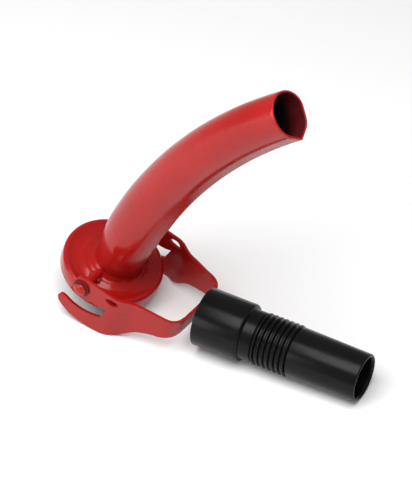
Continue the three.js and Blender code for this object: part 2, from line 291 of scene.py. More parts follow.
def plated_steel():
    material, tree, shader = new_finish("plated_steel", Metallic=1.0)
    cloud = ramp(tree, grain(tree, 90, 4), 0.3, 0.7)
    tree.links.new(tint(tree, cloud, (0.42, 0.42, 0.41), (0.62, 0.62, 0.6)), shader.inputs["Base Color"])
    lines = grain(tree, 500, 3, stretch=(6, 6, 0.5))
    tree.links.new(ramp(tree, lines, 0.3, 0.7, 0.28, 0.5), shader.inputs["Roughness"])
    add_bump(tree, shader, lines, 0.00003, 0.4)
    return material


STEEL = plated_steel()

# %% [markdown]
# ## Turned pieces
# A cap, a gasket, a pin and a nozzle are all one section turned about an axis. A lathe tree in Geometry
# Nodes does that for every one of them: it rounds the corners of a section drawn as a line, reads the
# section's points back row by row, and sends each row of a grid round the axis. A point may also carry a
# shift, which moves its whole ring forward; that is how a round hole can sit off the middle.

# %% Trees and how they are run


def new_tree(name, inputs):
    """A tree with geometry in and out, and one named input for each size."""
    tree = bpy.data.node_groups.new(name, "GeometryNodeTree")
    tree.interface.new_socket("Geometry", in_out="INPUT", socket_type="NodeSocketGeometry")
    for label, value in inputs.items():
        kinds = {int: "NodeSocketInt", float: "NodeSocketFloat", type(None): "NodeSocketMaterial"}
        socket = tree.interface.new_socket(label, in_out="INPUT", socket_type=kinds[type(value)])
        if value is not None:
            socket.default_value = value
    tree.interface.new_socket("Geometry", in_out="OUTPUT", socket_type="NodeSocketGeometry")
    return tree, tree.nodes.new("NodeGroupInput").outputs, tree.nodes.new("NodeGroupOutput").inputs


def line_object(points, closed):
    """A bare line through points, as the base that a tree works on."""
    count = len(points)
    edges = [(i, (i + 1) % count) for i in range(count if closed else count - 1)]
    mesh = bpy.data.meshes.new("base_line")
    mesh.from_pydata(points, edges, [])
    base = bpy.data.objects.new("base_line", mesh)
    bpy.context.scene.collection.objects.link(base)
    return base


def plain_mesh(base, name):
    """The evaluated base as a plain mesh object called name; the base is removed."""
    seen = base.evaluated_get(bpy.context.evaluated_depsgraph_get())
    mesh = bpy.data.meshes.new_from_object(seen)
    base.modifiers.clear()
    bpy.data.objects.remove(base)
    mesh.name = name
    made = bpy.data.objects.new(name, mesh)
    bpy.context.scene.collection.objects.link(made)
    return made


def grow(name, tree, base, sizes):
    """Runs a tree on base with its named sizes, and keeps the result as a plain mesh."""
    modifier = base.modifiers.new(name, "NODES")
    modifier.node_group = tree
    for item in tree.interface.items_tree:
        if item.in_out == "INPUT" and item.name in sizes:
            modifier[item.identifier] = sizes[item.name]
    return plain_mesh(base, name)


def settle(piece, place):
    """Turns a closed piece's faces outwards and puts its vertices in the row frame."""
    shell = bmesh.new()
    shell.from_mesh(piece.data)
    bmesh.ops.remove_doubles(shell, verts=shell.verts, dist=MERGE)
    bmesh.ops.recalc_face_normals(shell, faces=shell.faces)
    shell.transform(place)
    shell.to_mesh(piece.data)
    shell.free()
    print(piece.name, len(piece.data.polygons), "faces")
    return piece


# %% The lathe tree


def lathe_tree():
    tree, given, made = new_tree(
        "lathe", {"Edge rounding": 0.3, "Rounding steps": 3, "Sides": 96, "Closed": 1, "Material": None}
    )
    line = put(tree, "GeometryNodeMeshToCurve", {"Mesh": given["Geometry"]}).outputs[0]
    rounding = {"Curve": line, "Count": given["Rounding steps"], "Radius": given["Edge rounding"]}
    rounding["Limit Radius"] = True
    section = put(tree, "GeometryNodeFilletCurve", rounding, mode="POLY").outputs[0]
    size = put(tree, "GeometryNodeAttributeDomainSize", {0: section}, component="CURVE")
    count = size.outputs["Point Count"]
    rows = calc(tree, "ADD", count, given["Closed"])
    columns = calc(tree, "ADD", given["Sides"], 1)
    sheet = {"Size X": 1.0, "Size Y": 1.0, "Vertices X": rows, "Vertices Y": columns}
    grid = put(tree, "GeometryNodeMeshGrid", sheet).outputs["Mesh"]
    spot = put(tree, "ShaderNodeSeparateXYZ", {0: put(tree, "GeometryNodeInputPosition").outputs[0]})
    down = calc(tree, "ADD", spot.outputs[0], 0.5)
    row = calc(tree, "ROUND", calc(tree, "MULTIPLY", down, calc(tree, "SUBTRACT", rows, 1)))
    index = calc(tree, "MODULO", row, count)
    angle = calc(tree, "MULTIPLY", spot.outputs[1], 2 * pi)
    sampling = put(tree, "GeometryNodeSampleIndex", data_type="FLOAT_VECTOR", domain="POINT")
    tree.links.new(section, sampling.inputs["Geometry"])
    tree.links.new(put(tree, "GeometryNodeInputPosition").outputs[0], sampling.inputs["Value"])
    tree.links.new(index, sampling.inputs["Index"])
    point = put(tree, "ShaderNodeSeparateXYZ", {0: sampling.outputs[0]}).outputs
    x = calc(tree, "ADD", point[1], calc(tree, "MULTIPLY", point[0], calc(tree, "COSINE", angle)))
    y = calc(tree, "MULTIPLY", point[0], calc(tree, "SINE", angle))
    target = put(tree, "ShaderNodeCombineXYZ", {0: x, 1: y, 2: point[2]}).outputs[0]
    moved = put(tree, "GeometryNodeSetPosition", {"Geometry": grid, "Position": target}).outputs[0]
    joined = put(tree, "GeometryNodeMergeByDistance", {"Geometry": moved, "Distance": 0.002}).outputs[0]
    smooth = put(tree, "GeometryNodeSetShadeSmooth", {"Geometry": joined}).outputs[0]
    solid = put(tree, "GeometryNodeRealizeInstances", {"Geometry": smooth}).outputs[0]
    done = put(tree, "GeometryNodeSetMaterial", {"Geometry": solid, "Material": given["Material"]}).outputs[0]
    tree.links.new(done, made["Geometry"])
    return tree


LATHE = lathe_tree()


def arc(cx, cy, radius, start, end, steps):
    """Points on an arc of a section, angles in degrees."""
    angles = [radians(start + (end - start) * i / steps) for i in range(steps + 1)]
    return [(cx + radius * cos(a), cy + radius * sin(a)) for a in angles]


def turned(name, section, material, place, closed=True, rounding=0.3, sides=96):
    """A section of (radius, height) or (radius, height, shift) points, turned and put in place."""
    rings = [(*point, 0)[:3] for point in section]
    base = line_object([(radius, shift, height) for radius, height, shift in rings], closed)
    sizes = {"Edge rounding": rounding, "Sides": sides, "Closed": int(closed), "Material": material}
    piece = grow(name, LATHE, base, sizes)
    return settle(piece, place)


# %% [markdown]
# ## The cap
# The cap is pressed from 1.6 mm sheet: a rolled rim, a dished ring and a raised boss in the middle. It is
# the lathe's work: one closed section, with arcs where the press has rounded the sheet.

# %% The cap
CAP_RADIUS = 34.0
CAP_SHEET = 1.6
CAP_BOTTOM = -13.5
RIM_TOP = -3.1
BEAD = 2.6
bead_x = CAP_RADIUS - BEAD
bead_z = RIM_TOP - BEAD
TUBE_FORWARD = 3.0
HOLE = 15.7
cap_section = [
    (HOLE, RIM_TOP - CAP_SHEET, TUBE_FORWARD),
    (19.6, RIM_TOP - CAP_SHEET),
    (23.0, RIM_TOP - 3.4),
    (28.6, RIM_TOP - 3.4),
    *arc(bead_x, bead_z, BEAD - CAP_SHEET, 90, 0, 6),
    (CAP_RADIUS - CAP_SHEET, CAP_BOTTOM),
    (CAP_RADIUS, CAP_BOTTOM),
    *arc(bead_x, bead_z, BEAD, 0, 100, 12),
    (29.2, RIM_TOP - 1.2),
    (27.2, RIM_TOP - 1.8),
    (24.2, RIM_TOP - 1.8),
    (22.0, RIM_TOP - 1.0),
    (20.6, RIM_TOP - 0.1),
    (19.8, RIM_TOP),
    (HOLE, RIM_TOP, TUBE_FORWARD),
]
cap = turned("cap_pressing", cap_section, RED, spout_place, rounding=0.9, sides=160)
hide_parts("cap_shell")
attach(cap, "spout")

# %% [markdown]
# ## The bent tube
# The tube is rolled from sheet, so it has a seam, and it is bent to an even curve. It flares from its weld
# and then narrows all the way to the outlet. Near the seam the two edges of the sheet stay flat, which
# gives the section its pointed, drop-like corner, and the bending has pulled the outlet a little oval and
# left a flat on one side of it. It could be lofted through sections drawn by hand, but each of these is a
# rule, so the whole tube is one tree: a grid's rows become stations along the bend and its columns become
# angles round it. Solidify then gives the sheet its thickness, and Bevel softens the cut end.

# %% The tube's tree
TUBE_FOOT = -4.9


def tube_tree():
    sizes = {
        "Length": 236.0, "Bend": radians(32), "Forward": 3.0, "Foot radius": 15.2, "Body radius": 18.2,
        "End radius": 15.4, "Fullest at": 42.0, "Corner": 1.1, "Seam angle": 0.0, "Narrowing": 0.1,
        "Flat depth": 1.5, "Flat angle": 1.3, "Steps": 120, "Sides": 128, "Material": None,
    }
    tree, given, made = new_tree("bent_tube", sizes)
    columns = calc(tree, "ADD", given["Sides"], 1)
    sheet = {"Size X": 1.0, "Size Y": 1.0, "Vertices X": given["Steps"], "Vertices Y": columns}
    grid = put(tree, "GeometryNodeMeshGrid", sheet).outputs["Mesh"]
    spot = put(tree, "ShaderNodeSeparateXYZ", {0: put(tree, "GeometryNodeInputPosition").outputs[0]}).outputs
    station = ramp(tree, spot[0], -0.5, 0.5, TUBE_FOOT, given["Length"])
    from_seam = calc(tree, "MULTIPLY", spot[1], 2 * pi)
    # Radius along the tube.
    flare_start = calc(tree, "DIVIDE", given["Fullest at"], -3)
    radii = (given["Foot radius"], given["Body radius"])
    flared = ramp(tree, station, flare_start, given["Fullest at"], *radii, "SMOOTHERSTEP")
    narrowing = calc(tree, "SUBTRACT", given["End radius"], given["Body radius"])
    tapered = ramp(tree, station, given["Fullest at"], given["Length"], 0.0, narrowing)
    radius = calc(tree, "ADD", flared, tapered)
    # The drop-shaped corner at the seam, which fades out towards the weld.
    reach = calc(tree, "ARCCOSINE", calc(tree, "DIVIDE", 1, given["Corner"]))
    rise = ramp(tree, station, 4, 70, 0.0, 0.75, "SMOOTHSTEP")
    late_rise = ramp(tree, station, 70, given["Length"], 0.0, 0.25)
    strength = calc(tree, "MULTIPLY", reach, calc(tree, "ADD", rise, late_rise))
    near = calc(tree, "MAXIMUM", calc(tree, "SUBTRACT", strength, calc(tree, "ABSOLUTE", from_seam)), 0)
    # The flat beside the outlet.
    off_flat = calc(tree, "DIVIDE", calc(tree, "SUBTRACT", from_seam, given["Flat angle"]), 0.45)
    hollow = calc(tree, "EXPONENT", calc(tree, "MULTIPLY", calc(tree, "MULTIPLY", off_flat, off_flat), -1))
    flat_start = calc(tree, "SUBTRACT", given["Length"], 80)
    flat = calc(tree, "MULTIPLY", hollow, ramp(tree, station, flat_start, given["Length"], kind="SMOOTHSTEP"))
    pressed = calc(tree, "SUBTRACT", radius, calc(tree, "MULTIPLY", flat, given["Flat depth"]))
    spread = calc(tree, "DIVIDE", pressed, calc(tree, "COSINE", near))
    # The oval, and the turn of the seam off the inner side of the bend.
    width = ramp(tree, station, 0, given["Length"], 1.0, calc(tree, "SUBTRACT", 1, given["Narrowing"]))
    tall = calc(tree, "MULTIPLY", spread, calc(tree, "COSINE", from_seam))
    wide = calc(tree, "MULTIPLY", calc(tree, "MULTIPLY", spread, calc(tree, "SINE", from_seam)), width)
    seam_cos = calc(tree, "COSINE", given["Seam angle"])
    seam_sin = calc(tree, "SINE", given["Seam angle"])
    tall_out = calc(tree, "MULTIPLY", tall, seam_cos)
    out = calc(tree, "SUBTRACT", tall_out, calc(tree, "MULTIPLY", wide, seam_sin))
    side = calc(tree, "ADD", calc(tree, "MULTIPLY", tall, seam_sin), calc(tree, "MULTIPLY", wide, seam_cos))
    # The bend.
    bend_radius = calc(tree, "DIVIDE", given["Length"], given["Bend"])
    turn = calc(tree, "DIVIDE", calc(tree, "MAXIMUM", station, 0), bend_radius)
    arm = calc(tree, "SUBTRACT", bend_radius, out)
    forward = calc(tree, "SUBTRACT", bend_radius, calc(tree, "MULTIPLY", arm, calc(tree, "COSINE", turn)))
    x = calc(tree, "ADD", forward, given["Forward"])
    climb = calc(tree, "MULTIPLY", arm, calc(tree, "SINE", turn))
    z = calc(tree, "ADD", climb, calc(tree, "MINIMUM", station, 0))
    target = put(tree, "ShaderNodeCombineXYZ", {0: x, 1: side, 2: z}).outputs[0]
    moved = put(tree, "GeometryNodeSetPosition", {"Geometry": grid, "Position": target}).outputs[0]
    joined = put(tree, "GeometryNodeMergeByDistance", {"Geometry": moved, "Distance": 0.002}).outputs[0]
    smooth = put(tree, "GeometryNodeSetShadeSmooth", {"Geometry": joined}).outputs[0]
    solid = put(tree, "GeometryNodeRealizeInstances", {"Geometry": smooth}).outputs[0]
    done = put(tree, "GeometryNodeSetMaterial", {"Geometry": solid, "Material": given["Material"]}).outputs[0]
    tree.links.new(done, made["Geometry"])
    return tree


TUBE = tube_tree()

# %% The tube
TUBE_WALL = 1.3
tube_base = line_object([(0, 0, 0), (0, 0, 1)], False)
tube = grow("bent_tube", TUBE, tube_base, {"Seam angle": radians(-7), "Corner": 1.15, "Material": RED})
settle(tube, Matrix.Identity(4))
# The inner wall takes the bore's painted shade.
tube.data.materials.append(BORE_SHADE)
wall = tube.modifiers.new("wall", "SOLIDIFY")
wall.thickness = TUBE_WALL
wall.offset = -1
wall.material_offset = 1
lip = tube.modifiers.new("lip", "BEVEL")
lip.width = 0.35
lip.segments = 2
lip.limit_method = "ANGLE"
lip.angle_limit = radians(65)
tube = plain_mesh(tube, "bent_tube")
tube.data.transform(spout_place)
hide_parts("spout_tube_lower", "spout_tube_middle", "spout_tube_upper")
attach(tube, "spout")
print("tube", len(tube.data.polygons), "faces")

# %% [markdown]
# ## The weld round the tube's foot
# Where the tube meets the cap a run of weld has been dressed and painted over, so what shows is a hollow
# curve from the tube down to the edge of the boss. The tube stands forward of the cap's middle, so the curve
# is narrow in front and wide behind. It is a lathe section whose rings shift from the tube's middle to the
# cap's.

# %% Foot weld
FOOT = 15.2
BOSS = 20.0
COVE_HEIGHT = 6.4
cove_section = []
for step in range(15):
    turn = pi / 2 * step / 14
    share = 1 - cos(turn)
    height = RIM_TOP + 0.03 + COVE_HEIGHT * (1 - sin(turn))
    cove_section.append((FOOT + 0.1 + (BOSS - FOOT) * share, height, TUBE_FORWARD * (1 - share)))
cove_section += [(BOSS, RIM_TOP - 0.4, 0), (FOOT - 0.8, RIM_TOP - 0.4, TUBE_FORWARD)]
cove_section.append((FOOT - 0.8, RIM_TOP + COVE_HEIGHT, TUBE_FORWARD))
foot_weld = turned("foot_weld", cove_section, RED, spout_place, rounding=0.1, sides=128)
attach(foot_weld, "spout")

# %% [markdown]
# ## Pins and washers
# Two short pins lie across the cap and end in domed heads outside the lever's arms. The head is drawn as
# part of an ellipse, and a washer sits between it and the arm, coloured dark red as painted shade round the head.

# %% Pins and washers
PIN_RADIUS = 2.8
PIN_START = 17.6
ARM_INNER = 34.5
ARM_SHEET = 2.0
shoulder = ARM_INNER + ARM_SHEET + 1.5
pin_section = [
    (0, PIN_START),
    (PIN_RADIUS, PIN_START),
    (PIN_RADIUS, shoulder),
    *[(4.7 * cos(a), shoulder + 0.5 + 2.5 * sin(a)) for a in [radians(t) for t in range(-6, 90, 12)]],
    (0, shoulder + 3),
]
washer_section = [
    (3.1, shoulder - 1.2),
    (6.0, shoulder - 1.2),
    (6.0, shoulder - 0.3),
    (3.1, shoulder - 0.3),
]
for label, side in (("near", -1), ("far", 1)):
    sideways = spout_place @ Matrix.Rotation(-side * pi / 2, 4, "X")
    pin = turned(f"pin_{label}", pin_section, RED, sideways, closed=False, rounding=0.4, sides=48)
    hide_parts(f"pivot_pin_{label}")
    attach(pin, "spout")
    # The washer's dark colour is painted shade round the head.
    washer = turned(f"washer_{label}", washer_section, WASHER_SHADE, sideways, rounding=0.2, sides=48)
    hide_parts(f"pivot_washer_{label}")
    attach(washer, "spout")

# %% [markdown]
# ## Welds beside the pins
# Each pin is tacked to the cap on both sides. A tack is a small frozen lump, never the same twice, so one
# rough ball is set on points along the pin and its surface is pushed about by noise that reads its place.

# %% Tack welds


def tack_tree():
    tree, given, made = new_tree("tack_welds", {"Roughness": 0.5, "Material": None})
    ball = put(tree, "GeometryNodeMeshIcoSphere", {"Radius": 1.0, "Subdivisions": 5}).outputs["Mesh"]
    sizes = {"Points": given["Geometry"], "Instance": ball, "Scale": (1.9, 2.7, 1.8)}
    lumps = put(tree, "GeometryNodeInstanceOnPoints", sizes).outputs[0]
    solid = put(tree, "GeometryNodeRealizeInstances", {"Geometry": lumps}).outputs[0]
    place = put(tree, "GeometryNodeInputPosition").outputs[0]
    rough = put(tree, "ShaderNodeTexNoise", {"Vector": place, "Scale": 0.5, "Detail": 2.0}).outputs["Fac"]
    push = calc(tree, "MULTIPLY", calc(tree, "SUBTRACT", rough, 0.5), given["Roughness"])
    normal = put(tree, "GeometryNodeInputNormal").outputs[0]
    offset = put(tree, "ShaderNodeVectorMath", {0: normal, "Scale": push}, operation="SCALE").outputs[0]
    moved = put(tree, "GeometryNodeSetPosition", {"Geometry": solid, "Offset": offset}).outputs[0]
    smooth = put(tree, "GeometryNodeSetShadeSmooth", {"Geometry": moved}).outputs[0]
    finish = {"Geometry": smooth, "Material": given["Material"]}
    done = put(tree, "GeometryNodeSetMaterial", finish).outputs[0]
    tree.links.new(done, made["Geometry"])
    return tree


TACK_OUT = 30.8  # how far from the cap's middle the outer and the inner tacks sit
TACK_IN = 20.6
TACK_ASIDE = 3.0
TACK_HEIGHT = -2.6
tack_rows = (-TACK_OUT, -TACK_IN, TACK_IN, TACK_OUT)
tack_points = [(x, y, TACK_HEIGHT) for y in tack_rows for x in (-TACK_ASIDE, TACK_ASIDE)]
tack_base = line_object(tack_points, False)
tacks = grow("pin_tacks", tack_tree(), tack_base, {"Roughness": 1.2, "Material": RED})
tacks.data.transform(spout_place)
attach(tacks, "spout")

# %% [markdown]
# ## The lever
# The lever is a flat blank, stamped with its hooks, eyes and slots and then bent into a U. Drawing it the
# same way is also the easiest way to model it: the blank's outline is filled with small triangles, every
# point is carried to its place along the bent plan, and the second arm is the first one mirrored. Solidify
# gives it the sheet's thickness and Bevel the soft edge that thick paint leaves.

# %% Plan of the bend
ARM_Y = ARM_INNER + ARM_SHEET / 2
CROSS_X = 66.0
CROSS_HALF = 26.4
CORNER = 12.0


def bezier(points, steps):
    """Points on a Bezier curve of any degree, without its first point."""
    result = []
    for i in range(1, steps + 1):
        level = [Vector(p) for p in points]
        while len(level) > 1:
            level = [a.lerp(b, i / steps) for a, b in zip(level, level[1:])]
        result.append(level[0])
    return result


plan = [Vector((-18, ARM_Y)), Vector((22, ARM_Y))]
plan += bezier([(22, ARM_Y), (30, ARM_Y), (32, 29.6), (41, 29)], 16)
plan.append(Vector((CROSS_X - CORNER, CROSS_HALF)))
corner_points = [(CROSS_X - CORNER, CROSS_HALF), (CROSS_X, CROSS_HALF - 0.6), (CROSS_X, CROSS_HALF - CORNER)]
plan += bezier(corner_points, 20)
plan.append(Vector((CROSS_X, 0)))
travel = [0.0]
for a, b in zip(plan, plan[1:]):
    travel.append(travel[-1] + (b - a).length)
BLANK_END = travel[-1]


def on_plan(distance):
    """The plan's point that far along the blank from the hook's end."""
    for a, b, start, end in zip(plan, plan[1:], travel, travel[1:]):
        if distance <= end:
            return a.lerp(b, (distance - start) / (end - start))
    return plan[-1].copy()


def along_blank(x):
    """How far along the blank an arm reaches x millimetres forward of the pins."""
    for a, b, start, end in zip(plan, plan[1:], travel, travel[1:]):
        if x <= b.x and b.x > a.x:
            return start + (end - start) * (x - a.x) / (b.x - a.x)
    return travel[-2]


print("blank half length", round(BLANK_END, 1), "mm")

# %% Outline of the blank


def smooth_line(points, steps=8):
    """A soft line through points (a Catmull-Rom spline), without its first point."""
    ends = [points[0], *points, points[-1]]
    result = []
    for p0, p1, p2, p3 in zip(ends, ends[1:], ends[2:], ends[3:]):
        for i in range(1, steps + 1):
            t = i / steps
            spot = []
            for a, b, c, d in zip(p0, p1, p2, p3):
                square = (2 * a - 5 * b + 4 * c - d) * t**2
                cube = (3 * b - a - 3 * c + d) * t**3
                spot.append(0.5 * (2 * b + (c - a) * t + square + cube))
            result.append(tuple(spot))
    return result


def ring(cx, cy, rx, ry, turn=0.0, steps=32):
    """Points on an ellipse, turned by an angle."""
    points = []
    for i in range(steps):
        x = rx * cos(2 * pi * i / steps)
        y = ry * sin(2 * pi * i / steps)
        points.append((cx + x * cos(turn) - y * sin(turn), cy + x * sin(turn) + y * cos(turn)))
    return points


top_edge = smooth_line([(66, 16), (56, 15), (40, 13.6), (20, 11.2), (2, 9.4)])
eye_end = smooth_line([(2, 9.4), (-4.6, 6.8), (-6.8, 1), (-4.4, -4.6), (0, -6.4), (5, -6.2)])
mouth_top = smooth_line([(5, -6.2), (11, -6.2), (17, -4.8), (21.5, -2.5)])
finger_top = smooth_line([(19.2, -13.4), (13, -16.6), (6, -19.2), (-2, -19.8), (-8, -18.6)])
finger_tip = smooth_line([(-8, -18.6), (-11.6, -19), (-13.4, -22.4), (-12, -26)])
low_edge = smooth_line([
    (-12, -26), (-5, -29.6), (5, -30.6), (16, -29.1), (25.6, -25.9), (32.4, -22.4), (37.4, -17.6),
    (42.4, -11.8), (49, -7.2), (57, -3.6), (66, 0.4),
])
arm_outline = [(66, 16), *top_edge, *eye_end, *mouth_top, (19.2, -13.4), *finger_top, *finger_tip, *low_edge]
blank = [(along_blank(x), n) for x, n in arm_outline]
blank = [(BLANK_END, 16.0), *blank, (BLANK_END, 0.4)]
eye = [(along_blank(x), n) for x, n in ring(0, 0, 3.1, 3.1)]
slot = [(along_blank(x), n) for x, n in ring(22.6, 6.6, 4.6, 2.6, 0.12)]

# %% Fill, bend and mirror the blank


def inside(point, loop):
    """True where a point lies inside a closed loop."""
    x, y = point
    hit = False
    for (x1, y1), (x2, y2) in zip(loop, loop[1:] + loop[:1]):
        if (y1 > y) != (y2 > y) and x < x1 + (y - y1) * (x2 - x1) / (y2 - y1):
            hit = not hit
    return hit


def filled(outline, holes, pitch):
    """Triangles that fill an outline with holes, with extra points every pitch inside."""
    points = [Vector(p) for loop in (outline, *holes) for p in loop]
    edges = []
    first = 0
    for loop in (outline, *holes):
        count = len(loop)
        edges += [(first + i, first + (i + 1) % count) for i in range(count)]
        first += count
    low_x, low_y = (min(p[i] for p in outline) for i in (0, 1))
    high_x, high_y = (max(p[i] for p in outline) for i in (0, 1))
    rim = list(points)
    for i in range(int((high_x - low_x) / pitch)):
        for j in range(int((high_y - low_y) / pitch)):
            spot = Vector((low_x + (i + 0.5) * pitch, low_y + (j + 0.5) * pitch))
            clear = min((spot - p).length for p in rim) > 0.6 * pitch
            if clear and inside(spot, outline) and not any(inside(spot, hole) for hole in holes):
                points.append(spot)
    verts, _, faces, *_ = geometry.delaunay_2d_cdt(points, edges, [], 0, 1e-5)
    kept = []
    for face in faces:
        middle = sum((verts[i] for i in face), Vector((0, 0))) / len(face)
        if inside(middle, outline) and not any(inside(middle, hole) for hole in holes):
            kept.append(face)
    return verts, kept


flat_points, flat_faces = filled(blank, [eye, slot], 2.2)
bent_points = []
for point in flat_points:
    spot = on_plan(point.x)
    bent_points.append(Vector((spot.x, spot.y, point.y)))
lever_mesh = bpy.data.meshes.new("hook_lever")
lever_mesh.from_pydata(bent_points, [], flat_faces)
shell = bmesh.new()
shell.from_mesh(lever_mesh)
other = bmesh.ops.duplicate(shell, geom=shell.verts[:] + shell.edges[:] + shell.faces[:])["geom"]
other_verts = [g for g in other if isinstance(g, bmesh.types.BMVert)]
bmesh.ops.transform(shell, matrix=Matrix.Scale(-1, 4, (0, 1, 0)), verts=other_verts)
bmesh.ops.reverse_faces(shell, faces=[g for g in other if isinstance(g, bmesh.types.BMFace)])
bmesh.ops.remove_doubles(shell, verts=shell.verts, dist=0.01)
bmesh.ops.recalc_face_normals(shell, faces=shell.faces)
for face in shell.faces:
    face.smooth = True
shell.to_mesh(lever_mesh)
shell.free()
lever = bpy.data.objects.new("hook_lever", lever_mesh)
bpy.context.scene.collection.objects.link(lever)
lever_mesh.materials.append(RED)
sheet = lever.modifiers.new("sheet", "SOLIDIFY")
sheet.thickness = ARM_SHEET
sheet.offset = 0
sheet.use_even_offset = True
soft_edge = lever.modifiers.new("soft_edge", "BEVEL")
soft_edge.width = 0.5
soft_edge.segments = 3
soft_edge.limit_method = "ANGLE"
soft_edge.angle_limit = radians(60)
lever = plain_mesh(lever, "hook_lever")
lever.data.transform(spout_place)
even = lever.modifiers.new("even_shading", "WEIGHTED_NORMAL")
even.keep_sharp = True
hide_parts("lever")
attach(lever, "lever_body")
print("lever", len(lever.data.polygons), "faces")

# %% [markdown]
# ## Gasket and strainer
# Inside the cap a rubber ring seals on the can's mouth, and a flanged ring holds a cup of woven wire gauze.
# The ring and the gasket are turned. The gauze is real wires: hoops stacked up the cup, uprights round it,
# and a crossed floor, each a thin tube along a line.

# %% Gasket and strainer ring
gasket_top = RIM_TOP - 4.7
GASKET_THICKNESS = 3.6
GASKET_INNER = 22.0
GASKET_OUTER = 32.1
gasket_base = gasket_top - GASKET_THICKNESS
gasket_section = [
    (GASKET_INNER, gasket_base), (24.6, gasket_base), (25, gasket_base + 0.3), (25.4, gasket_base),
    (GASKET_OUTER, gasket_base), (GASKET_OUTER, gasket_top), (GASKET_INNER, gasket_top),
]
gasket = turned("rubber_gasket", gasket_section, RUBBER, spout_place, rounding=0.35)
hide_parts("gasket")
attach(gasket, "spout")
RING_BORE = 14.6
RING_NECK = 15.8
RING_FLANGE = 21.6
FLANGE_TOP = -8.2
RING_TOP = -6.2
rim_section = [
    (RING_BORE, FLANGE_TOP - 1.2), (RING_FLANGE, FLANGE_TOP - 1.2), (RING_FLANGE, FLANGE_TOP),
    (RING_NECK, FLANGE_TOP), (RING_NECK, RING_TOP), (RING_BORE, RING_TOP),
]
strainer_ring = turned("strainer_ring", rim_section, STEEL, spout_place, rounding=0.25)
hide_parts("strainer_rim")
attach(strainer_ring, "spout")

# %% Gauze wires
WIRE = 0.16


def wire_tree():
    """Gives every line of the base a round section."""
    tree, given, made = new_tree("wires", {"Wire radius": WIRE, "Sides": 5, "Material": None})
    line = put(tree, "GeometryNodeMeshToCurve", {"Mesh": given["Geometry"]}).outputs[0]
    round_section = {"Resolution": given["Sides"], "Radius": given["Wire radius"]}
    section = put(tree, "GeometryNodeCurvePrimitiveCircle", round_section)
    sweep = {"Curve": line, "Profile Curve": section.outputs["Curve"], "Fill Caps": True}
    tube_mesh = put(tree, "GeometryNodeCurveToMesh", sweep).outputs[0]
    smooth = put(tree, "GeometryNodeSetShadeSmooth", {"Geometry": tube_mesh}).outputs[0]
    solid = put(tree, "GeometryNodeRealizeInstances", {"Geometry": smooth}).outputs[0]
    done = put(tree, "GeometryNodeSetMaterial", {"Geometry": solid, "Material": given["Material"]}).outputs[0]
    tree.links.new(done, made["Geometry"])
    return tree


WIRES = wire_tree()


def gauze_lines(radius, top, bottom, pitch):
    """Points and edges of a woven cup: uprights and hoops that pass over and under, and a crossed floor."""
    points, edges = [], []

    def add(line, closed=False):
        first = len(points)
        points.extend(line)
        edges.extend((first + i, first + i + 1) for i in range(len(line) - 1))
        if closed:
            edges.append((first + len(line) - 1, first))

    uprights = 2 * round(pi * radius / pitch)
    hoops = round((top - bottom) / pitch)
    for i in range(hoops):
        z = bottom + 1.6 + i * (top - bottom - 1.6) / hoops
        ring_line = []
        for j in range(2 * uprights):
            weave = WIRE * cos(pi * (j / 2 + i))
            a = pi * j / uprights
            ring_line.append(((radius + weave) * cos(a), (radius + weave) * sin(a), z))
        add(ring_line, closed=True)
    for j in range(uprights):
        a = 2 * pi * j / uprights
        side = []
        for i in range(2 * hoops):
            weave = -WIRE * cos(pi * (j + i / 2))
            z = bottom + 1.6 + i * (top - bottom - 1.6) / (2 * hoops)
            side.append(((radius + weave) * cos(a), (radius + weave) * sin(a), z))
        add(side)
    steps = int((radius - 1) / pitch)
    for k in range(-steps, steps + 1):
        reach = (max(0.1, (radius - 1.0) ** 2 - (k * pitch) ** 2)) ** 0.5
        for axis in (0, 1):
            row = []
            for m in range(-8, 9):
                weave = WIRE * cos(pi * (m + k)) * (1 if axis else -1)
                spot = (m / 8 * reach, k * pitch)
                if axis:
                    spot = spot[::-1]
                row.append((*spot, bottom + 0.35 + weave))
            add(row)
    for end in (0, 1):
        z = bottom + (0.3 if end == 0 else 1.6)
        r = radius - (1.0 if end == 0 else 0)
        add([(r * cos(2 * pi * j / 64), r * sin(2 * pi * j / 64), z) for j in range(64)], closed=True)
    return points, edges


GAUZE_RADIUS = 13.8
GAUZE_TOP = -7.2
GAUZE_BOTTOM = -23.6
GAUZE_PITCH = 1.25
gauze_points, gauze_edges = gauze_lines(GAUZE_RADIUS, GAUZE_TOP, GAUZE_BOTTOM, GAUZE_PITCH)
gauze_mesh = bpy.data.meshes.new("gauze_lines")
gauze_mesh.from_pydata(gauze_points, gauze_edges, [])
gauze_base = bpy.data.objects.new("gauze_lines", gauze_mesh)
bpy.context.scene.collection.objects.link(gauze_base)
gauze = grow("wire_gauze", WIRES, gauze_base, {"Material": STEEL})
gauze.data.transform(spout_place)
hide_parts("strainer_gauze")
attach(gauze, "spout")
print("gauze", len(gauze.data.polygons), "faces")

# %% [markdown]
# ## Breather pipe and its clips
# The pipe and clips inside the tube are small and plain, and their shapes are already right, so the packed
# nodes stay and only take the plated finish.

# %% Finish the nodes that stay
for name in ("breather_tube", "breather_clip_lower", "breather_clip_upper"):
    stays = frame["nodes"][name]
    stays.data.materials.clear()
    stays.data.materials.append(STEEL)

# %% [markdown]
# ## The flexible nozzle
# The nozzle is one moulding: a socket that pushes over the tube, a neck, a ribbed bellows that lets it bend,
# and a plain pipe. Its section is drawn without ribs. A small tree raises the ribs on the stretch between
# two heights before the lathe turns it, so their number and height stay easy to change.

# %% The ribbed lathe


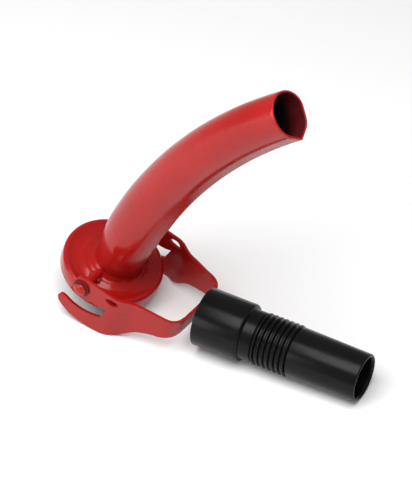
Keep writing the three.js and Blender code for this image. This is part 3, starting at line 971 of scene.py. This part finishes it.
def ribbed_lathe_tree():
    sizes = {
        "Ribs": 7, "Ribs start": 41.0, "Ribs end": 67.0, "Rib height": 2.2,
        "Edge rounding": 0.3, "Rounding steps": 3, "Sides": 128, "Closed": 1, "Material": None,
    }
    tree, given, made = new_tree("ribbed_lathe", sizes)
    place = put(tree, "GeometryNodeInputPosition").outputs[0]
    spot = put(tree, "ShaderNodeSeparateXYZ", {0: place}).outputs
    share = ramp(tree, spot[2], given["Ribs start"], given["Ribs end"])
    phase = calc(tree, "FRACT", calc(tree, "MULTIPLY", share, given["Ribs"]))
    rising = ramp(tree, phase, 0.14, 0.4, 0.0, 1.0, "SMOOTHSTEP")
    falling = ramp(tree, phase, 0.6, 0.86, 1.0, 0.0, "SMOOTHSTEP")
    lift = calc(tree, "MULTIPLY", calc(tree, "MULTIPLY", rising, falling), given["Rib height"])
    outside = calc(tree, "GREATER_THAN", spot[0], 15.0)
    shift = put(tree, "ShaderNodeCombineXYZ", {0: calc(tree, "MULTIPLY", lift, outside)}).outputs[0]
    ribbed = put(tree, "GeometryNodeSetPosition", {"Geometry": given["Geometry"], "Offset": shift}).outputs[0]
    lathe = put(tree, "GeometryNodeGroup", node_tree=LATHE)
    tree.links.new(ribbed, lathe.inputs["Geometry"])
    for label in ("Edge rounding", "Rounding steps", "Sides", "Closed", "Material"):
        tree.links.new(given[label], lathe.inputs[label])
    solid = put(tree, "GeometryNodeRealizeInstances", {"Geometry": lathe.outputs[0]}).outputs[0]
    done = put(tree, "GeometryNodeSetMaterial", {"Geometry": solid, "Material": given["Material"]}).outputs[0]
    tree.links.new(done, made["Geometry"])
    return tree


RIBBED_LATHE = ribbed_lathe_tree()

# %% The nozzle
SOCKET_RADIUS = 19.8
SOCKET_END = 33.0
NECK_RADIUS = 17.0
RIBS_START = 41.0
RIBS_END = 67.0
RIB_ROOT = 15.7
TIP_RADIUS = 16.35
SOCKET_BORE = 16.7
PIPE_BORE = 13.8
rib_stretch = [(RIB_ROOT, RIBS_START + 0.2 + (RIBS_END - RIBS_START - 0.4) * i / 98) for i in range(99)]
nozzle_section = [
    (SOCKET_BORE + 0.9, 0), (SOCKET_RADIUS, 0), *arc(SOCKET_RADIUS - 2, SOCKET_END - 2, 2, 0, 90, 6),
    (NECK_RADIUS, SOCKET_END),
    (NECK_RADIUS, RIBS_START), *rib_stretch, (NECK_RADIUS, RIBS_END), (TIP_RADIUS, NOZZLE_LENGTH - 0.7),
    (TIP_RADIUS - 0.7, NOZZLE_LENGTH), (PIPE_BORE + 1.0, NOZZLE_LENGTH), (PIPE_BORE, NOZZLE_LENGTH - 1.6),
    (PIPE_BORE, SOCKET_END - 2),
    (SOCKET_BORE, SOCKET_END - 4), (SOCKET_BORE, 0.9),
]
nozzle_base = line_object([(r, 0, z) for r, z in nozzle_section], True)
nozzle_sizes = {"Ribs start": RIBS_START, "Ribs end": RIBS_END, "Rib height": 2.0, "Edge rounding": 0.5}
nozzle = grow("flexible_nozzle", RIBBED_LATHE, nozzle_base, {**nozzle_sizes, "Material": PLASTIC})
settle(nozzle, nozzle_place)
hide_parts("nozzle_socket", "nozzle_bellows", "nozzle_tip")
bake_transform(nozzle)

# %% [markdown]
# ## Floor and light
# The floor is a plain pale sheet under two soft panels. The larger one hangs over the object, a little to the
# front, and makes a pool of light: the pale floor near by is what the glossy paint mirrors as a broad sheen.
# The second stands low at the front left and lights the cap's side and the lever's near arm. Both could be
# one large dome light, but panels with edges give glossy paint something to mirror. A grey world fills the
# shadows.

# %% Floor


def pale_floor():
    material, tree, shader = new_finish("pale_floor", Specular_IOR_Level=0.1)
    colour = tint(tree, grain(tree, 3, 2), (0.9, 0.9, 0.9), (0.93, 0.93, 0.93))
    tree.links.new(colour, shader.inputs["Base Color"])
    shader.inputs["Roughness"].default_value = 0.9
    return material


floor_mesh = bpy.data.meshes.new("floor")
FLOOR_REACH = 12.0
FLOOR_DROP = 0.0002  # just under the object, so that the two never share a surface
corners = [(x * FLOOR_REACH, y * FLOOR_REACH, 0) for x, y in ((-1, -1), (1, -1), (1, 1), (-1, 1))]
floor_mesh.from_pydata(corners, [], [(0, 1, 2, 3)])
floor = bpy.data.objects.new("floor", floor_mesh)
floor_mesh.materials.append(pale_floor())
floor.location.z = -FLOOR_DROP
bpy.context.scene.collection.objects.link(floor)

# %% Light
world = bpy.data.worlds.new("studio")
world.use_nodes = True
world.node_tree.nodes["Background"].inputs["Color"].default_value = (1, 1, 1, 1)
world.node_tree.nodes["Background"].inputs["Strength"].default_value = 0.32
bpy.context.scene.world = world
bpy.context.scene.view_settings.view_transform = "Standard"


def panel(name, place, target, width, height, power):
    """A soft rectangular light at place that faces target."""
    light = bpy.data.lights.new(name, "AREA")
    light.shape = "RECTANGLE"
    light.size = width
    light.size_y = height
    light.energy = power
    lamp = bpy.data.objects.new(name, light)
    lamp.location = place
    lamp.rotation_euler = (Vector(place) - Vector(target)).to_track_quat("Z", "Y").to_euler()
    bpy.context.scene.collection.objects.link(lamp)
    return lamp


panel("panel_above", (0.1, -0.3, 0.95), (0.0, 0.0, 0.05), 0.9, 0.7, 12.0)
panel("panel_front", (-0.75, -1.0, 0.35), (-0.05, 0.0, 0.03), 0.9, 0.6, 7.0)
print("lights ready")
